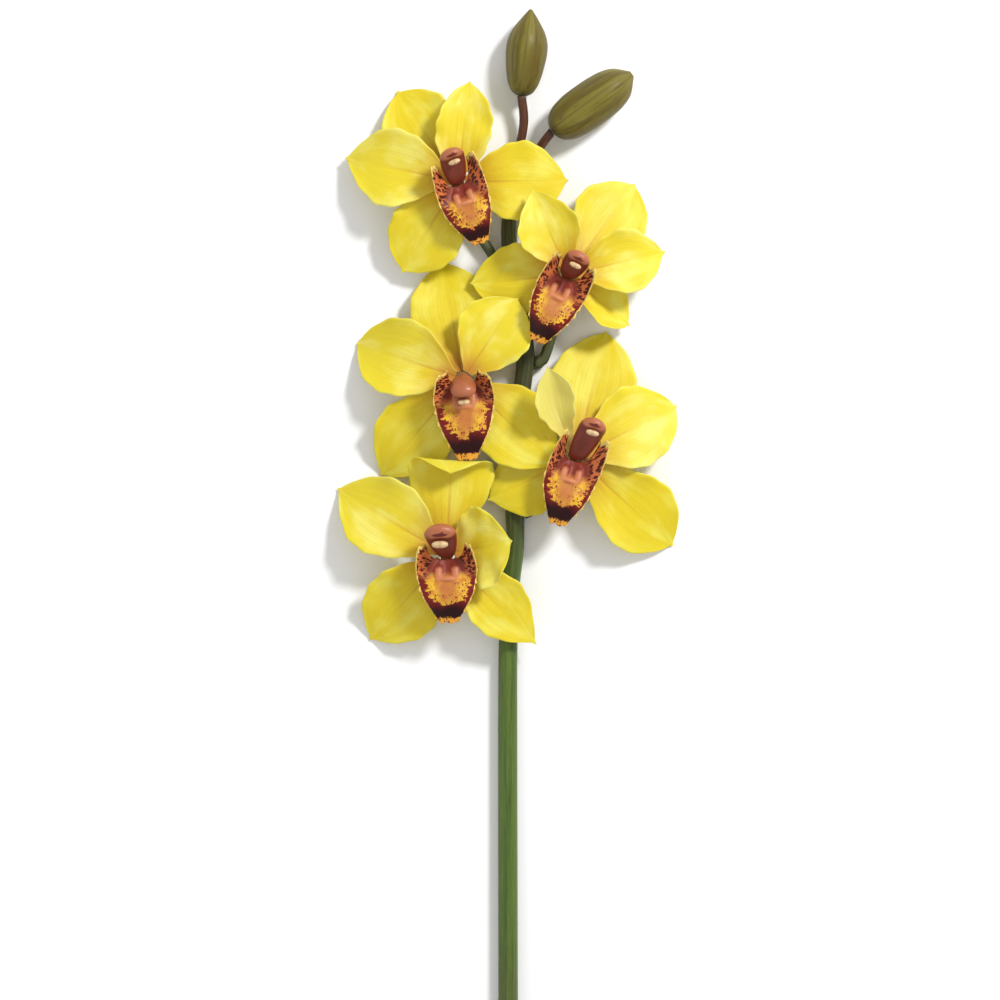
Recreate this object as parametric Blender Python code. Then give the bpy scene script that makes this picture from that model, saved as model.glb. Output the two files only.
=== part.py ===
"""A cut stem of cymbidium orchid lying face up, with five open flowers and two closed buds.

The stem lies along Y with its cut end at -Y, the flowers face +Z, and everything rests on the plane Z = 0.
The tables below are in millimetres and degrees, and the meshes are made in metres.
"""

import math
from collections import namedtuple

import bmesh
import bpy
import numpy as np

MM = 0.001
GAP = 0.35  # clear space left between pieces that meet

# The main stem: x and y of its centreline and its radius, from the cut end to the tip
STEM_LINE = (
    (0.5, -284.0, 5.6),
    (0.5, -240.0, 5.5),
    (0.3, -110.0, 5.4),
    (0.5, -66.0, 5.3),
    (1.5, -34.0, 5.3),
    (4.2, -10.0, 5.2),
    (4.2, 12.0, 5.1),
    (2.8, 32.0, 5.0),
    (5.5, 58.0, 5.0),
    (9.0, 82.0, 4.9),
    (10.2, 97.0, 4.9),
    (7.0, 122.0, 4.8),
    (1.6, 152.0, 4.6),
    (1.2, 172.0, 4.1),
    (3.4, 187.0, 3.4),
)
STEM_RINGS = 46
STEM_SIDES = 16
STEM_RIB = 0.035  # how far the lengthwise ribs stand out, as a share of the radius
NODE_SWELL = 0.07  # how much the stem thickens where a pedicel leaves it
NODE_LENGTH = 5.0
JOINT_ROOM = 0.25  # more clear space where a stalk's flat end meets the round stem

# Flat parts
TEPAL_THICKNESS = 0.95
LIP_THICKNESS = 1.2
EDGE_THINNING = 0.45
TEPAL_STEPS = (10, 4)  # along and across
LIP_STEPS = (12, 8)
TEPAL_START = 4.3  # distance of a tepal's base from the middle of the flower
SEPAL_LEVEL = -1.2  # height of a sepal's base above the middle of the flower
PETAL_LEVEL = 0.9
CLAW_HALF_WIDTH = 3.0
TIP_HALF_WIDTH = 0.7
REST = 0.05  # the lowest a flat part may come to the surface

# The lip, at even steps from its foot to its tip
LIP_FOOT = 4.6  # distance of its foot from the middle of the flower
LIP_MIDDLE = (0.0, 0.10, 0.30, 0.62, 1.0)  # how far along its middle is, as a share of its length
LIP_OUTLINE = (0.84, 0.95, 1.0, 0.96, 0.88, 0.73, 0.52, 0.30)  # half-width as a share of the widest
LIP_CLEAR = 1.6  # how far the side lobes stand off the column
LIP_TROUGH = (2.7, 4.0, 6.5, 8.5, 4.0)  # height of its middle above the middle of the flower
LIP_WALL = (8.0, 12.5, 10.0, 4.0, 0.5, -2.0, -2.5, -2.0, -0.5)  # height of its edges above its middle
LIP_CORNER = 3.5  # how much the rear corners of the side lobes are rounded
LIP_RUFFLE = 1.2
LIP_WAVES = 3.5

# The ovary at the end of a pedicel
PEDICEL_RADIUS = 2.9
OVARY_RADIUS = 3.8
HUB_TOP = 1.5  # how far the ovary comes up between the bases of the tepals

# The column: its half-width from foot to head, then the three rings of its rounded end
COLUMN_OUTLINE = (4.2, 5.4, 6.4, 6.7, 6.3)
COLUMN_DOME = (5.8, 4.5, 1.8)
COLUMN_FRONT = 0.48
COLUMN_BACK = 0.64
CAP_HALF = (3.3, 1.5, 1.8)  # half-sizes of the anther cap across, to the front and up
CAP_FORWARD = 4.9  # from the column's centreline to the cap's
CAP_SET_BACK = 0.6  # below the column's end

Tepal = namedtuple(
    "Tepal",
    "bearing reach tip width rise bow cup roll widest blunt ripple waves curl sway",
    defaults=(2.0, 3.0, 0.10, 0.0, 1.2, 0.8, 0.8, 2.5, 0.0, 0.0),
)
"""bearing: direction from the middle of the flower, anticlockwise from +X. reach: length seen from above.
tip: height of the tip above the surface. rise and bow: how far the blade stands above the straight line
from base to tip, at one third and two thirds. cup: how much the sides turn up. roll: turn about its own
axis. widest: above 1 moves the broadest part to the tip. blunt: below 1 rounds the tip. ripple and waves:
height and count of the waves along the edges. curl: how far the tip turns back over the blade.
sway: how far the middle of the blade bends to the left."""

Flower = namedtuple("Flower", "heart lip column joint tepals scale", defaults=(1.0,))
"""heart: where the tepals meet. lip: bearing, length, width, how far its side lobes reach back, and how
much they lean along with the column. column: x, y and z of its head from the heart, and how far it nods
to the lip. joint: the pedicel's start on the stem, as y and side. scale: how large the column is."""

FLOWERS = {
    "flower_1": Flower(
        (-27.0, 189.0, 21.0),
        (291, 36.0, 28.0, 9.0, 1.0),
        (-3.2, 13.8, 20.0, 0.1),
        (147.0, -1),
        {
            "dorsal_sepal": Tepal(123, 60, 1.2, 40, 1, 2, 0.10, 0, 1.35, 0.72, 0.8),
            "left_petal": Tepal(167, 62, 7.0, 43, 3, 7, 0.10, 0, 1.1, 0.85, 0.6),
            "right_petal": Tepal(83, 54, 19.0, 31, -1, 2, 0.10, 0, 1.0, 0.62, 1.0),
            "left_sepal": Tepal(238, 56, 9.0, 42, 1, 3, 0.06, 0, 1.25, 0.72, 0.6),
            "right_sepal": Tepal(1, 59, 17.0, 43, 1, 2, 0.05, 0, 1.1, 0.70, 0.8),
        },
    ),
    "flower_2": Flower(
        (33.0, 138.0, 25.0),
        (245, 40.0, 28.0, 7.5, 1.0),
        (5.8, 8.6, 19.0, 0.1),
        (91.0, 1),
        {
            "dorsal_sepal": Tepal(54, 62, 2.0, 40, 1, 3, 0.08, 0, 1.35, 0.68, 0.8),
            "left_petal": Tepal(113, 49, 27.0, 33, 1, 5, 0.20, 0, 1.0, 0.90, 0.4),
            "right_petal": Tepal(14, 54, 11.0, 35, 3, 8, 0.16, 0, 1.1, 0.90, 0.8),
            "left_sepal": Tepal(184, 52, 12.4, 38, -2, -2, 0.05, 0, 1.0, 0.70, 0.4),
            "right_sepal": Tepal(322, 42, 7.0, 28, 1, 2, 0.20, -38, 1.3, 0.75, 1.0),
        },
    ),
    "flower_3": Flower(
        (-24.0, 81.5, 22.0),
        (273, 44.0, 33.0, 8.0, 0.0),
        (0.5, -10.0, 18.5, 1.1),
        (38.0, -1),
        {
            "dorsal_sepal": Tepal(100, 65, 1.2, 43, 0, 0, 0.05, 0, 1.25, 0.70, 0.5),
            "left_petal": Tepal(161, 61, 1.2, 44, 4, 10, 0.12, 0, 1.2, 0.75, 0.7),
            "right_petal": Tepal(56, 52, 21.5, 41, 0, 2, 0.08, 0, 1.2, 0.68, 0.8),
            "left_sepal": Tepal(229, 68, 1.2, 42, 2, 6, 0.10, 0, 1.2, 0.78, 0.7),
            "right_sepal": Tepal(317, 68, 22.0, 44, -1, 0, 0.03, 0, 1.1, 0.85, 0.5),
        },
    ),
    "flower_4": Flower(
        (37.5, 39.0, 22.0),
        (254, 38.0, 29.0, 8.0, 0.9),
        (10.0, 18.0, 20.0, 0.0),
        (9.0, 1),
        {
            "dorsal_sepal": Tepal(76, 70, 1.2, 47, 0, 0, 0.05, 0, 1.25, 0.72, 0.6),
            "left_petal": Tepal(108, 50, 40.0, 22, -5, 1, 0.28, 0, 1.75, 0.85, 0.6, 2.5, 0.0, 2.0),
            "right_petal": Tepal(27, 61, 6.5, 44, 3, 6, 0.08, 0, 1.2, 0.66, 0.9),
            "left_sepal": Tepal(206, 52, 11.8, 40, -4, -1, 0.03, 0, 1.1, 0.85, 0.6),
            "right_sepal": Tepal(318, 71, 1.2, 43, 2, 6, 0.08, 0, 1.35, 0.72, 0.9),
        },
        1.08,
    ),
    "flower_5": Flower(
        (-33.0, -14.0, 22.0),
        (272, 37.0, 33.0, 8.0, 0.4),
        (-3.5, 12.0, 21.0, 0.2),
        (-42.0, -1),
        {
            "dorsal_sepal": Tepal(87, 50, 31.0, 48, -8, -12, -0.03, 0, 1.5, 0.60, 1.0, 3.0, 33.0),
            "left_petal": Tepal(149, 69, 1.2, 44, 4, 9, 0.10, 0, 1.1, 0.85, 1.0),
            "right_petal": Tepal(12, 35, 38.0, 44, -5, 3, 0.04, 0, 1.0, 0.60, 1.2, 3.0),
            "left_sepal": Tepal(228, 62, 1.2, 42, 2, 6, 0.08, 0, 1.2, 0.78, 0.7),
            "right_sepal": Tepal(315, 68, 13.6, 33, 1, 3, 0.08, 0, 1.1, 0.95, 0.8),
        },
        1.35,
    ),
}

# Buds. joint: where the pedicel leaves the side of the stem, or None where it carries on from its tip.
# stalk: the points that the pedicel passes, up to the bud. outline: half-width from base to tip, as shares
# of radius.
Bud = namedtuple("Bud", "joint stalk tip radius outline")
BUDS = {
    "bud_1": Bud(
        None,
        ((3.7, 187.9, 3.6), (5.6, 202.0, 5.5), (9.2, 222.0, 8.5), (8.0, 236.5, 11.0)),
        (13.0, 284.0, 12.5),
        11.4,
        (0.40, 0.70, 0.85, 0.94, 1.0, 0.97, 0.79, 0.46, 0.07),
    ),
    "bud_2": Bud(
        (176.0, 1),
        ((12.2, 192.0, 7.0), (17.5, 207.5, 10.0), (24.5, 217.2, 13.0)),
        (68.2, 248.5, 14.0),
        12.6,
        (0.46, 0.80, 0.94, 0.99, 1.0, 0.98, 0.90, 0.68, 0.15),
    ),
}
BUD_STALK_RADIUS = 2.6
BUD_STEPS = (12, 14)  # along and around
BUD_KEEL = 0.05  # how much the three outer leaves of a bud round it into a triangle

# Colours: base colour, roughness
COLOURS = {
    "stem_green": ((0.14, 0.26, 0.05), 0.45),
    "pedicel_olive": ((0.10, 0.11, 0.04), 0.5),
    "bud_stalk_brown": ((0.13, 0.05, 0.02), 0.5),
    "bud_olive": ((0.24, 0.24, 0.05), 0.5),
    "petal_yellow": ((0.87, 0.74, 0.06), 0.5),
    "sepal_yellow": ((0.83, 0.68, 0.05), 0.5),
    "lip_spotted": ((0.62, 0.22, 0.04), 0.45),
    "column_terracotta": ((0.36, 0.10, 0.05), 0.4),
    "anther_cream": ((0.75, 0.62, 0.38), 0.4),
}


def clear_scene():
    for obj in list(bpy.data.objects):
        bpy.data.objects.remove(obj, do_unlink=True)


def material(name):
    found = bpy.data.materials.get(name)
    if found:
        return found
    colour, roughness = COLOURS[name]
    made = bpy.data.materials.new(name)
    made.use_nodes = True
    shader = made.node_tree.nodes["Principled BSDF"]
    shader.inputs["Base Color"].default_value = (*colour, 1.0)
    shader.inputs["Roughness"].default_value = roughness
    shader.inputs["Metallic"].default_value = 0.0
    return made


def add_object(name, points, faces, slot):
    """One closed, smooth mesh from points in millimetres."""
    mesh = bpy.data.meshes.new(name)
    mesh.from_pydata((np.asarray(points) * MM).tolist(), [], faces)
    body = bmesh.new()
    body.from_mesh(mesh)
    bmesh.ops.recalc_face_normals(body, faces=body.faces)
    body.to_mesh(mesh)
    body.free()
    for face in mesh.polygons:
        face.use_smooth = True
    mesh.materials.append(material(slot))
    obj = bpy.data.objects.new(name, mesh)
    bpy.context.scene.collection.objects.link(obj)
    return obj


def unit(vectors):
    return vectors / np.linalg.norm(vectors, axis=-1, keepdims=True)


def bezier(controls, t):
    """Points on a cubic curve at the parameters t."""
    a, b, c, d = (np.asarray(p, float) for p in controls)
    t = np.asarray(t)[:, None]
    s = 1 - t
    return s**3 * a + 3 * s * s * t * b + 3 * s * t * t * c + t**3 * d


def spline(knots, count):
    """A smooth line with count points through the knots, evenly spread along its length."""
    knots = np.asarray(knots, float)
    ends = np.vstack([2 * knots[0] - knots[1], knots, 2 * knots[-1] - knots[-2]])
    line = []
    for i in range(len(knots) - 1):
        p, q, r, s = ends[i : i + 4]
        t = np.linspace(0, 1, 12, endpoint=False)[:, None]
        line.append(
            0.5 * (2 * q + (r - p) * t + (2 * p - 5 * q + 4 * r - s) * t**2 + (3 * q - p - 3 * r + s) * t**3)
        )
    line = np.vstack(line + [knots[-1:]])
    run = np.concatenate([[0], np.cumsum(np.linalg.norm(np.diff(line[:, :3], axis=0), axis=1))])
    even = np.linspace(0, run[-1], count)
    return np.column_stack([np.interp(even, run, line[:, k]) for k in range(line.shape[1])])


def sheet_faces(rows, columns):
    """Faces of a closed sheet: its top points come first, then its bottom points, row by row."""
    count = rows * columns
    top = [
        (i * columns + j, i * columns + j + 1, (i + 1) * columns + j + 1, (i + 1) * columns + j)
        for i in range(rows - 1)
        for j in range(columns - 1)
    ]
    bottom = [tuple(count + k for k in reversed(face)) for face in top]
    rim = (
        [j for j in range(columns)]
        + [i * columns + columns - 1 for i in range(1, rows)]
        + [(rows - 1) * columns + j for j in range(columns - 2, -1, -1)]
        + [i * columns for i in range(rows - 2, 0, -1)]
    )
    walls = [(a, b, count + b, count + a) for a, b in zip(rim, rim[1:] + rim[:1])]
    return top + bottom + walls


def sheet(name, grid, thickness, slot):
    """A closed sheet of that thickness about a grid of points, thinner towards its two long edges."""
    rows, columns = grid.shape[:2]
    across = np.abs(np.linspace(-1, 1, columns))[None, :, None]
    half = thickness / 2 * (1 - EDGE_THINNING * across**2)
    floor = thickness / 2 + REST
    grid = np.concatenate([grid[..., :2], np.maximum(grid[..., 2:], floor)], axis=2)
    normal = unit(np.cross(np.gradient(grid, axis=0), np.gradient(grid, axis=1)))
    points = np.concatenate([(grid + normal * half).reshape(-1, 3), (grid - normal * half).reshape(-1, 3)])
    return add_object(name, points, sheet_faces(rows, columns), slot)


def tepal_grid(heart, level, tepal, steps):
    """The middle surface of a sepal or petal as rows of points from its base to its tip."""
    along = np.linspace(0, 1, steps[0] + 1)
    across = np.linspace(-1, 1, steps[1] + 1)
    base = heart[2] + level
    third = base + (tepal.tip - base) / 3 + tepal.rise
    two_thirds = base + 2 * (tepal.tip - base) / 3 + tepal.bow
    controls = (
        (TEPAL_START, base),
        (TEPAL_START + (tepal.reach - TEPAL_START) / 3, third),
        (tepal.reach * 0.7 + tepal.curl, two_thirds),
        (tepal.reach - tepal.curl * 0.15, tepal.tip),
    )
    line = bezier(controls, along)
    slope = unit(np.gradient(line, axis=0))
    half = np.sin(math.pi * along**tepal.widest).clip(0) ** tepal.blunt * tepal.width / 2
    half = np.maximum(half, np.linspace(CLAW_HALF_WIDTH, TIP_HALF_WIDTH, len(along)))
    roll = math.radians(tepal.roll) * np.sin(along * math.pi / 2)
    side = half[:, None] * across
    wave = tepal.ripple * np.sin(2 * math.pi * tepal.waves * along + tepal.bearing)[:, None]
    wave = wave * across**2 * np.where(across < 0, 1, -0.8) * np.sin(math.pi * along)[:, None]
    lift = tepal.cup * half[:, None] * across**2 * 2 + wave
    s = side * np.cos(roll)[:, None] - lift * np.sin(roll)[:, None]
    n = side * np.sin(roll)[:, None] + lift * np.cos(roll)[:, None]
    r = line[:, :1] - slope[:, 1:] * n
    z = line[:, 1:] + slope[:, :1] * n
    s = s + tepal.sway * np.sin(math.pi * along)[:, None]
    turn = math.radians(tepal.bearing)
    x = heart[0] + r * math.cos(turn) - s * math.sin(turn)
    y = heart[1] + r * math.sin(turn) + s * math.cos(turn)
    return np.stack([x, y, z], axis=2)


def profile(values, t):
    """A smooth curve through evenly spaced values, at t from 0 to 1."""
    values = np.asarray(values, float)
    ends = np.concatenate([[2 * values[0] - values[1]], values, [2 * values[-1] - values[-2]]])
    place = np.clip(t, 0, 1) * (len(values) - 1)
    i = np.minimum(place.astype(int), len(values) - 2)
    f = place - i
    p, q, r, s = (ends[i + k] for k in range(4))
    return 0.5 * (2 * q + (r - p) * f + (2 * p - 5 * q + 4 * r - s) * f**2 + (3 * q - p - 3 * r + s) * f**3)


def lip_grid(flower, steps):
    """The middle surface of a lip: side lobes that wrap the column, and a ruffled mid lobe that turns down."""
    heart = flower.heart
    bearing, length, width, back, lean = flower.lip
    inner = (max(COLUMN_OUTLINE) * flower.scale + LIP_CLEAR) / (width / 2)
    u = np.linspace(0, 1, steps[0] + 1)[:, None]
    v = np.linspace(-1, 1, steps[1] + 1)[None, :]
    edge = np.abs(v)
    middle = LIP_FOOT + (length - LIP_FOOT) * profile(LIP_MIDDLE, u)
    rim = -back + (length + back) * u
    a = middle + (rim - middle) * edge**3 + LIP_CORNER * np.exp(-((u / 0.1) ** 2)) * edge**6
    s = width / 2 * profile((inner, *LIP_OUTLINE), u) * np.sign(v) * (1 - (1 - edge) ** 1.9)
    waves = np.sin(2 * math.pi * LIP_WAVES * u + 1.2 * np.sign(v))
    ruffle = LIP_RUFFLE * edge**3 * waves * u * (1 - u**4)
    wall = profile(LIP_WALL, u) * edge**2
    z = profile(LIP_TROUGH, u) + wall + ruffle
    turn = math.radians(bearing)
    follow = lean * np.maximum(wall, 0) / flower.column[2]
    x = heart[0] + a * math.cos(turn) - s * math.sin(turn) + follow * flower.column[0]
    y = heart[1] + a * math.sin(turn) + s * math.cos(turn) + follow * flower.column[1]
    return np.stack([x, y, heart[2] + z], axis=2)


def ring_faces(rings, sides):
    """Faces of a tube made of rings of points, closed at both ends."""
    faces = [
        (i * sides + j, i * sides + (j + 1) % sides, (i + 1) * sides + (j + 1) % sides, (i + 1) * sides + j)
        for i in range(rings - 1)
        for j in range(sides)
    ]
    last = (rings - 1) * sides
    return faces + [tuple(range(sides))[::-1], tuple(range(last, last + sides))]


def ring_frames(line, start_side, ends):
    """Two directions square to the line at each of its points, turning as little as possible.
    ends gives the directions that the line's first and last rings face, or None for the line's own."""
    tangent = unit(np.gradient(line, axis=0))
    for place, direction in zip((0, -1), ends):
        if direction is not None:
            tangent[place] = unit(np.asarray(direction, float))
    sides = []
    side = np.asarray(start_side, float)
    for t in tangent:
        side = unit(side - t * side.dot(t))
        sides.append(side)
    sides = np.array(sides)
    return sides, np.cross(tangent, sides)


def round_outline(angle):
    return np.cos(angle), np.sin(angle)


def tube(name, line, radii, sides, slot, outline=round_outline, side=(0, 0, 1), ends=(None, None)):
    """A closed tube about a line. outline gives a ring's shape at each angle, as shares of its radius."""
    width, depth = outline(2 * math.pi * np.arange(sides) / sides)
    one, two = ring_frames(line, side, ends)
    rings = line[:, None] + np.asarray(radii)[:, None, None] * (
        one[:, None] * width[None, :, None] + two[:, None] * depth[None, :, None]
    )
    return add_object(name, rings.reshape(-1, 3), ring_faces(len(line), sides), slot)


def stem_at(y):
    """x of the stem's centreline, and its radius, at a distance along it."""
    table = np.array(STEM_LINE)
    return np.interp(y, table[:, 1], table[:, 0]), np.interp(y, table[:, 1], table[:, 2])


def stem_side(y, side):
    """Where a stalk starts, just clear of the stem at that distance along it, and the way it leaves."""
    x, radius = stem_at(y)
    lean = stem_at(y + 1)[0] - stem_at(y - 1)[0]
    out = unit(np.array([side, -side * lean / 2, 0.0]))
    return np.array([x, y, radius]) + out * (radius * (1 + NODE_SWELL) + GAP + JOINT_ROOM), out


def build_stem():
    line = spline([(x, y, 0.0, r) for x, y, r in STEM_LINE], STEM_RINGS)
    radii = line[:, 3].copy()
    for flower in FLOWERS.values():
        radii += radii * NODE_SWELL * np.exp(-(((line[:, 1] - flower.joint[0]) / NODE_LENGTH) ** 2))

    def ribbed(angle):
        r = 1 - STEM_RIB * (1 - np.cos(angle * STEM_SIDES / 2)) / 2
        return r * np.cos(angle), r * np.sin(angle)

    line[:, 2] = radii
    tube("stem", line[:, :3], radii, STEM_SIDES, "stem_green", ribbed, (1, 0, 0))


def build_pedicel(name, flower):
    """The stalk from the side of the stem, then up into the back of the flower."""
    x, y, h = flower.heart
    start, out = stem_side(*flower.joint)
    knots = [
        start,
        start + out * 2.6 + (0, 1.6, 0.2),
        start + out * 6.0 + (0, 6.5, 0.8),
        (x - out[0] * 3.0, y - 13.0, 8.0),
        (x, y - 2.0, h - 8.0),
        (x, y, h - 3.0),
        (x, y, h + HUB_TOP),
    ]
    line = spline(knots, 14)
    share = np.linspace(0, 1, len(line))
    radii = PEDICEL_RADIUS + 0.9 * np.exp(-((share / 0.07) ** 2)) + (OVARY_RADIUS - PEDICEL_RADIUS) * share**2
    tube(name, line, radii, 8, "pedicel_olive", ends=(out, (0, 0, 1)))


def column_outline(angle):
    """Rounded on the back and flatter on the side that faces the lip."""
    depth = np.sin(angle)
    return np.cos(angle), np.where(depth < 0, COLUMN_FRONT, COLUMN_BACK) * depth


def column_line(flower, count):
    """The column's centreline from the top of the ovary to its head, and the way its head faces."""
    x, y, h = flower.heart
    dx, dy, dz, nod = flower.column
    turn = math.radians(flower.lip[0])
    faces = unit(np.array([nod * math.cos(turn), nod * math.sin(turn), 1.0]))
    foot = np.array([x, y, h + HUB_TOP + GAP])
    head = np.array([x + dx, y + dy, h + dz])
    controls = (foot, foot + (dx * 0.1, dy * 0.1, 7.0), head - faces * 8.0, head)
    return bezier(controls, np.linspace(0, 1, count)), faces


def lip_side(flower):
    """The direction square to the lip's bearing, in the plane of the flower."""
    turn = math.radians(flower.lip[0] + 90)
    return np.array([math.cos(turn), math.sin(turn), 0.0])


def build_column(name, flower):
    line, faces = column_line(flower, 12)
    share = np.linspace(0, 1, len(line))
    radii = (1 + (flower.scale - 1) * share) * profile(COLUMN_OUTLINE, share)
    radii[-3:] = flower.scale * np.array(COLUMN_DOME)
    ends = ((0, 0, 1), faces)
    tube(name, line, radii, 12, "column_terracotta", column_outline, lip_side(flower), ends)


def build_cap(name, flower):
    """The cream cap at the column's tip, on the side of it that faces the lip."""
    line, faces = column_line(flower, 12)
    side = lip_side(flower)
    front = np.cross(side, faces)
    centre = line[-1] - faces * CAP_SET_BACK + front * flower.scale * CAP_FORWARD
    share = np.linspace(0, 1, 7)
    axis = centre + np.outer(np.cos(math.pi * share), side) * flower.scale * CAP_HALF[0]
    radii = flower.scale * np.sin(math.pi * (0.06 + 0.88 * share))

    def flattened(angle):
        return CAP_HALF[1] * np.cos(angle), CAP_HALF[2] * np.sin(angle)

    tube(name, axis, radii, 8, "anther_cream", flattened, front)


def build_flower(name, flower):
    build_pedicel(f"{name}_pedicel", flower)
    for part, tepal in flower.tepals.items():
        petal = part.endswith("petal")
        level = PETAL_LEVEL if petal else SEPAL_LEVEL
        grid = tepal_grid(flower.heart, level, tepal, TEPAL_STEPS)
        sheet(f"{name}_{part}", grid, TEPAL_THICKNESS, "petal_yellow" if petal else "sepal_yellow")
    sheet(f"{name}_lip", lip_grid(flower, LIP_STEPS), LIP_THICKNESS, "lip_spotted")
    build_column(f"{name}_column", flower)
    build_cap(f"{name}_anther_cap", flower)


def build_bud(name, bud):
    knots = list(bud.stalk)
    out = None
    if bud.joint:
        start, out = stem_side(*bud.joint)
        knots = [start, start + out * 2.2 + (0, 1.2, 0.3)] + knots
    stalk = spline(knots, 10)
    tip = np.array(bud.tip)
    aim = unit(tip - stalk[-1])
    radii = np.full(len(stalk), BUD_STALK_RADIUS)
    tube(f"{name}_pedicel", stalk, radii, 8, "bud_stalk_brown", ends=(out, aim))
    base = stalk[-1] + aim * GAP
    share = (1 - np.cos(math.pi * np.linspace(0, 1, BUD_STEPS[0] + 1))) / 2
    line = base + share[:, None] * (tip - base)
    radii = bud.radius * profile(bud.outline, share)

    def keeled(angle):
        r = 1 + BUD_KEEL * np.cos(3 * angle)
        return r * np.cos(angle), r * np.sin(angle)

    tube(name, line, radii, BUD_STEPS[1], "bud_olive", keeled, ends=(aim, aim))


def rest_on_origin():
    """Moves everything so that the middle of its bottom is at the origin."""
    meshes = [obj.data for obj in bpy.data.objects]
    points = np.array([v.co for mesh in meshes for v in mesh.vertices])
    low, high = points.min(axis=0), points.max(axis=0)
    shift = np.array([-(low[0] + high[0]) / 2, -(low[1] + high[1]) / 2, -low[2]])
    for mesh in meshes:
        for vertex in mesh.vertices:
            vertex.co += type(vertex.co)(shift)


clear_scene()
build_stem()
for flower_name, flower_design in FLOWERS.items():
    build_flower(flower_name, flower_design)
for bud_name, bud_design in BUDS.items():
    build_bud(bud_name, bud_design)
rest_on_origin()
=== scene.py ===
"""The looks of a cut cymbidium stem lying face up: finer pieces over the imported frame, their materials,
light and camera.

The tables repeat the design of the CAD part. They are in millimetres and degrees, before the part was
centred on its origin. Every finer piece stands for the CAD node of the same name.
"""

import math
from collections import namedtuple

import bpy
import numpy as np
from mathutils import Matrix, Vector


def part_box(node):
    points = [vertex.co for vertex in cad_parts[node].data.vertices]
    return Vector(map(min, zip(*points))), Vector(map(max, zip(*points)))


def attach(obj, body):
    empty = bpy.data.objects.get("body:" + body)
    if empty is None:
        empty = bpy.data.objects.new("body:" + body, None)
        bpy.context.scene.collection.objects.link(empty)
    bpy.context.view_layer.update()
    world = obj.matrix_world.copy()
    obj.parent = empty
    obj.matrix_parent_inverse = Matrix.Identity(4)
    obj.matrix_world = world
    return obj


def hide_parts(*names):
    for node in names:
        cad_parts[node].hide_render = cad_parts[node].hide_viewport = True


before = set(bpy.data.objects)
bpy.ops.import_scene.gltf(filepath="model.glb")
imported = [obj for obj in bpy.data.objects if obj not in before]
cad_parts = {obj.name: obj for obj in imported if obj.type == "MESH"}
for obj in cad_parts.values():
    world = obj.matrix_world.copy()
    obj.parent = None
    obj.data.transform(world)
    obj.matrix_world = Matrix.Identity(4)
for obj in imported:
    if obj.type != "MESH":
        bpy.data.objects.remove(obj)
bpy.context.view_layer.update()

MM = 0.001
GAP = 0.35  # clear space left between pieces that meet

# The main stem: x and y of its centreline and its radius, from the cut end to the tip
STEM_LINE = (
    (0.5, -284.0, 5.6),
    (0.5, -240.0, 5.5),
    (0.3, -110.0, 5.4),
    (0.5, -66.0, 5.3),
    (1.5, -34.0, 5.3),
    (4.2, -10.0, 5.2),
    (4.2, 12.0, 5.1),
    (2.8, 32.0, 5.0),
    (5.5, 58.0, 5.0),
    (9.0, 82.0, 4.9),
    (10.2, 97.0, 4.9),
    (7.0, 122.0, 4.8),
    (1.6, 152.0, 4.6),
    (1.2, 172.0, 4.1),
    (3.4, 187.0, 3.4),
)
STEM_RIB = 0.035  # how far the lengthwise ribs stand out, as a share of the radius
NODE_SWELL = 0.07  # how much the stem thickens where a pedicel leaves it
NODE_LENGTH = 5.0
JOINT_ROOM = 0.25  # more clear space where a stalk's flat end meets the round stem

# Flat parts
TEPAL_THICKNESS = 0.95
LIP_THICKNESS = 1.2
TEPAL_START = 4.3  # distance of a tepal's base from the middle of the flower
SEPAL_LEVEL = -1.2  # height of a sepal's base above the middle of the flower
PETAL_LEVEL = 0.9
CLAW_HALF_WIDTH = 3.0
TIP_HALF_WIDTH = 0.7
REST = 0.05  # the lowest a flat part may come to the surface

# The lip, at even steps from its foot to its tip
LIP_FOOT = 4.6  # distance of its foot from the middle of the flower
LIP_MIDDLE = (0.0, 0.10, 0.30, 0.62, 1.0)  # how far along its middle is, as a share of its length
LIP_OUTLINE = (0.84, 0.95, 1.0, 0.96, 0.88, 0.73, 0.52, 0.30)  # half-width as a share of the widest
LIP_CLEAR = 1.6  # how far the side lobes stand off the column
LIP_TROUGH = (2.7, 4.0, 6.5, 8.5, 4.0)  # height of its middle above the middle of the flower
LIP_WALL = (8.0, 12.5, 10.0, 4.0, 0.5, -2.0, -2.5, -2.0, -0.5)  # height of its edges above its middle
LIP_CORNER = 3.5  # how much the rear corners of the side lobes are rounded
LIP_RUFFLE = 1.2
LIP_WAVES = 3.5

# The ovary at the end of a pedicel
PEDICEL_RADIUS = 2.9
OVARY_RADIUS = 3.8
HUB_TOP = 1.5  # how far the ovary comes up between the bases of the tepals

# The column
COLUMN_OUTLINE = (4.2, 5.4, 6.4, 6.7, 6.3)  # half-width at even steps from its foot to its head
COLUMN_FRONT = 0.48  # how deep its front half is, as a share of the half-width
COLUMN_BACK = 0.64
CAP_HALF = (3.3, 1.5, 1.8)  # half-sizes of the anther cap across, to the front and up
CAP_FORWARD = 4.9  # from the column's centreline to the cap's
CAP_SET_BACK = 0.6  # below the column's end

Tepal = namedtuple(
    "Tepal",
    "bearing reach tip width rise bow cup roll widest blunt ripple waves curl sway",
    defaults=(2.0, 3.0, 0.10, 0.0, 1.2, 0.8, 0.8, 2.5, 0.0, 0.0),
)
"""bearing: direction from the middle of the flower, anticlockwise from +X. reach: length seen from above.
tip: height of the tip above the surface. rise and bow: how far the blade stands above the straight line
from base to tip, at one third and two thirds. cup: how much the sides turn up. roll: turn about its own
axis. widest: above 1 moves the broadest part to the tip. blunt: below 1 rounds the tip. ripple and waves:
height and count of the waves along the edges. curl: how far the tip turns back over the blade.
sway: how far the middle of the blade bends to the left."""

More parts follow.
